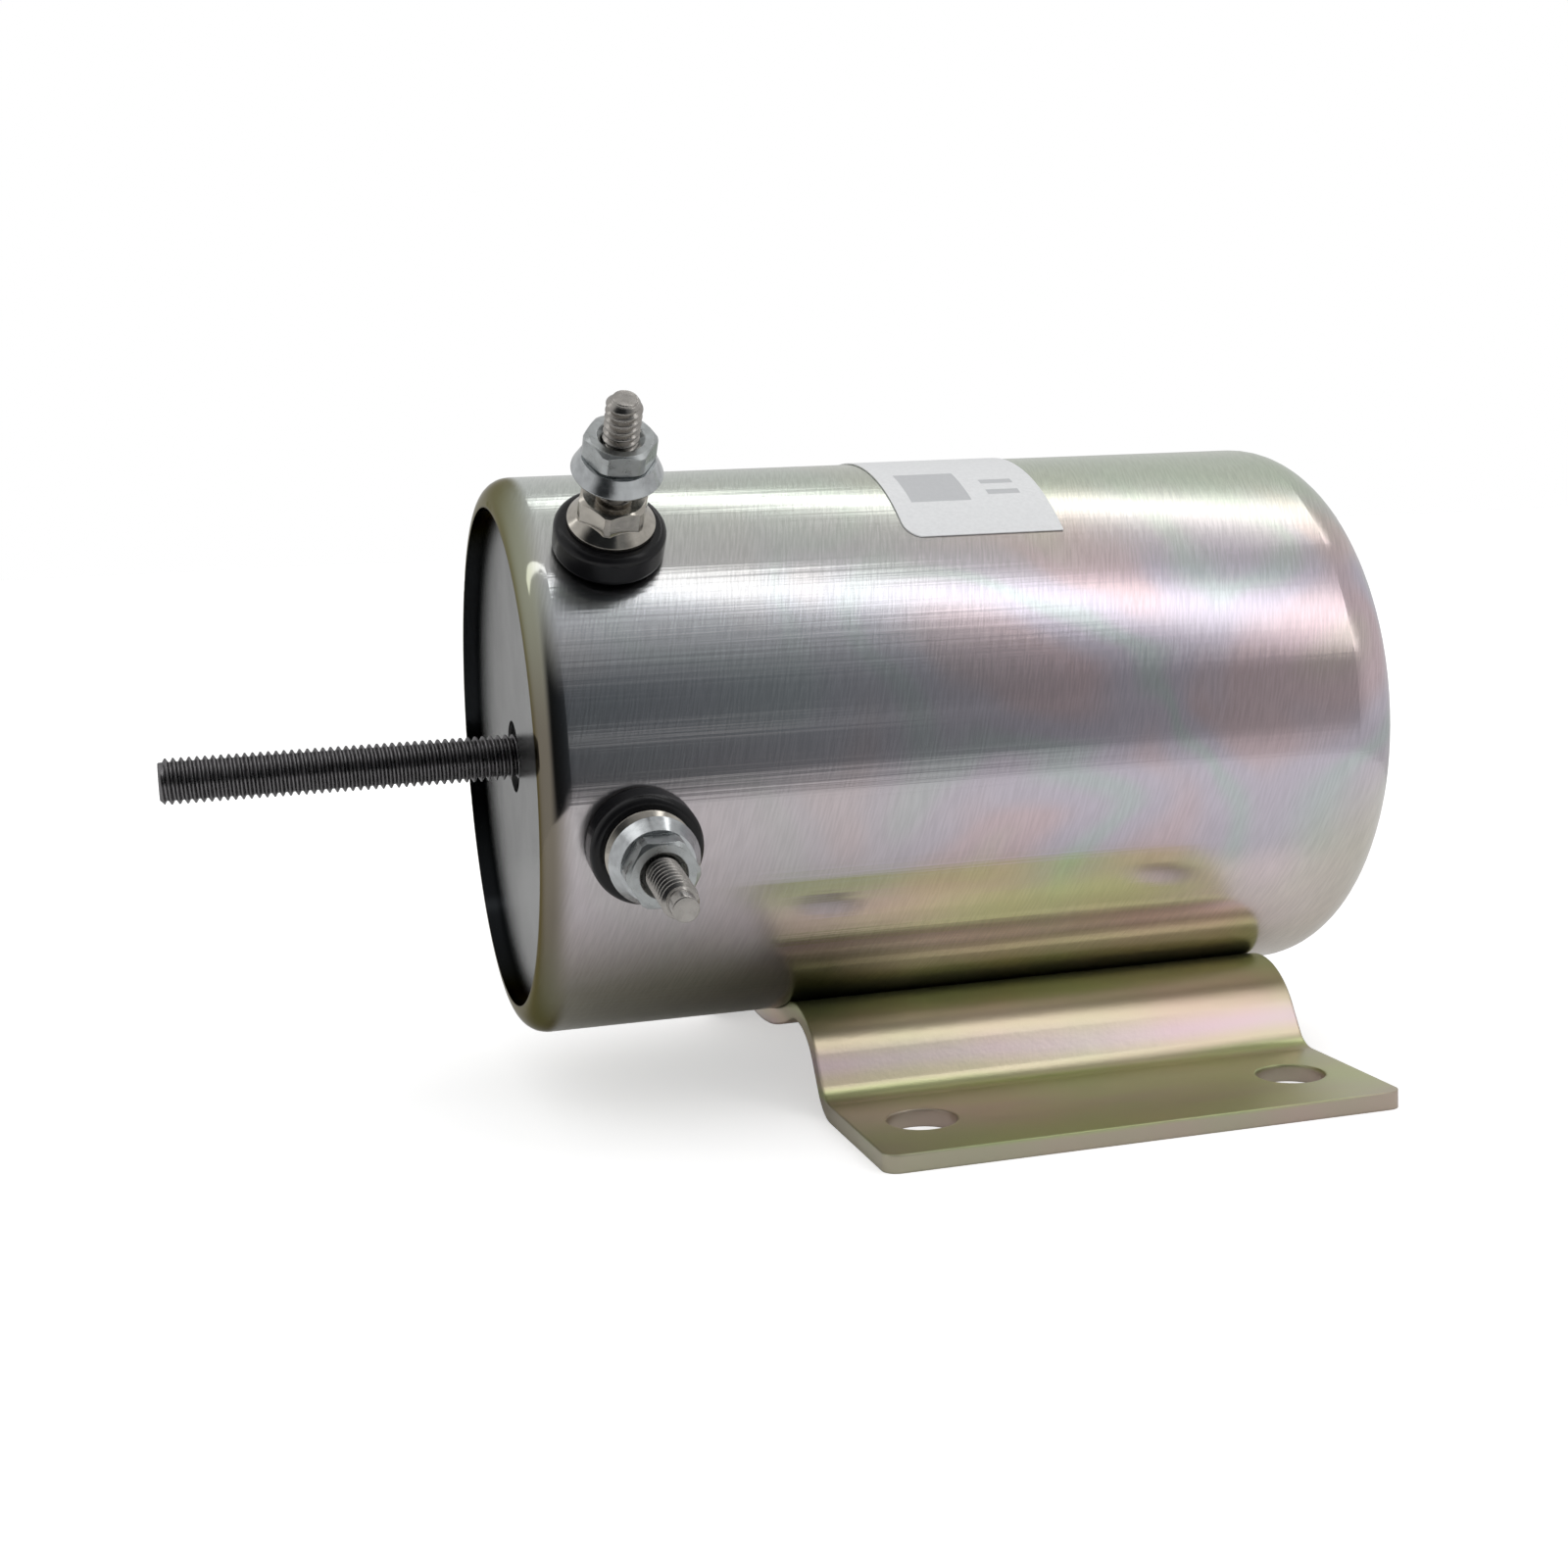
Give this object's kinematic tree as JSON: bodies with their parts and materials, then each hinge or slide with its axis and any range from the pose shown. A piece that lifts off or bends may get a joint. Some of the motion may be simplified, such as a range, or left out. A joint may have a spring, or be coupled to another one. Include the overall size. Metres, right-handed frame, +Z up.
{
  "type": "fuel shutoff solenoid",
  "caption": "Pull solenoid in a cylindrical steel can on a two-footed sheet bracket, with a threaded plunger rod and two stud terminals.",
  "frame": {"origin": "centre of the four foot holes, on the underside of the feet", "axes": "+X along the plunger's axis from the rod end towards the closed end, +Z up from the feet through the can, -Y towards the terminals' side"},
  "size_m": [0.1268, 0.0913, 0.0728],
  "materials": {
    "zinc_shell": "clear and yellow zinc plate, brushed round the can",
    "zinc_bracket": "yellow zinc plate",
    "grey_plate": "satin",
    "label_paper": "matt white",
    "dark_steel": "oiled steel thread",
    "core_steel": "turned steel",
    "spring_steel": "bright wire",
    "black_rubber": "matt",
    "brass_tube": "drawn tube",
    "ivory_plastic": "moulded",
    "copper_wire": "enamelled copper wire",
    "coil_tape": "polyester tape",
    "fish_paper": "pressed paper",
    "stud_steel": "zinc plate",
    "black_bush": "moulded, glossy",
    "brown_fibre": "fibre washer",
    "nickel": "nickel plate",
    "bright_zinc": "bright zinc plate",
    "lead_jacket": "insulated wire"
  },
  "bodies": {
    "solenoid_body": {"shell": "zinc_shell", "mounting_bracket": "zinc_bracket", "end_plate": "grey_plate", "label": "label_paper", "return_spring": "spring_steel", "bumper_washer": "black_rubber", "guide_tube": "brass_tube", "rear_core": "core_steel", "flux_washer": "core_steel", "spacer_ring": "core_steel", "bobbin": "ivory_plastic", "coil": "copper_wire", "coil_tape": "coil_tape", "insulating_liner": "fish_paper", "rear_pad": "black_rubber", "upper_stud": "stud_steel", "upper_outer_bush": "black_bush", "upper_inner_washer": "brown_fibre", "upper_flange_nut": "nickel", "upper_cone_washer": "bright_zinc", "upper_hex_nut": "bright_zinc", "upper_lead": "lead_jacket", "lower_stud": "stud_steel", "lower_outer_bush": "black_bush", "lower_inner_washer": "brown_fibre", "lower_flange_nut": "nickel", "lower_cone_washer": "bright_zinc", "lower_hex_nut": "bright_zinc", "lower_lead": "lead_jacket"},
    "plunger_body": {"plunger": "core_steel", "plunger_rod": "dark_steel", "rod_lock_nut": "stud_steel"}
  },
  "joints": [
    {"name": "plunger_slide", "type": "slide", "parent": "solenoid_body", "child": "plunger_body", "axis": [1, 0, 0], "range_m": [0, 0.025], "stiffness_N_per_m": 300, "springref_m": -0.01, "deforming": ["return_spring"]}
  ]
}
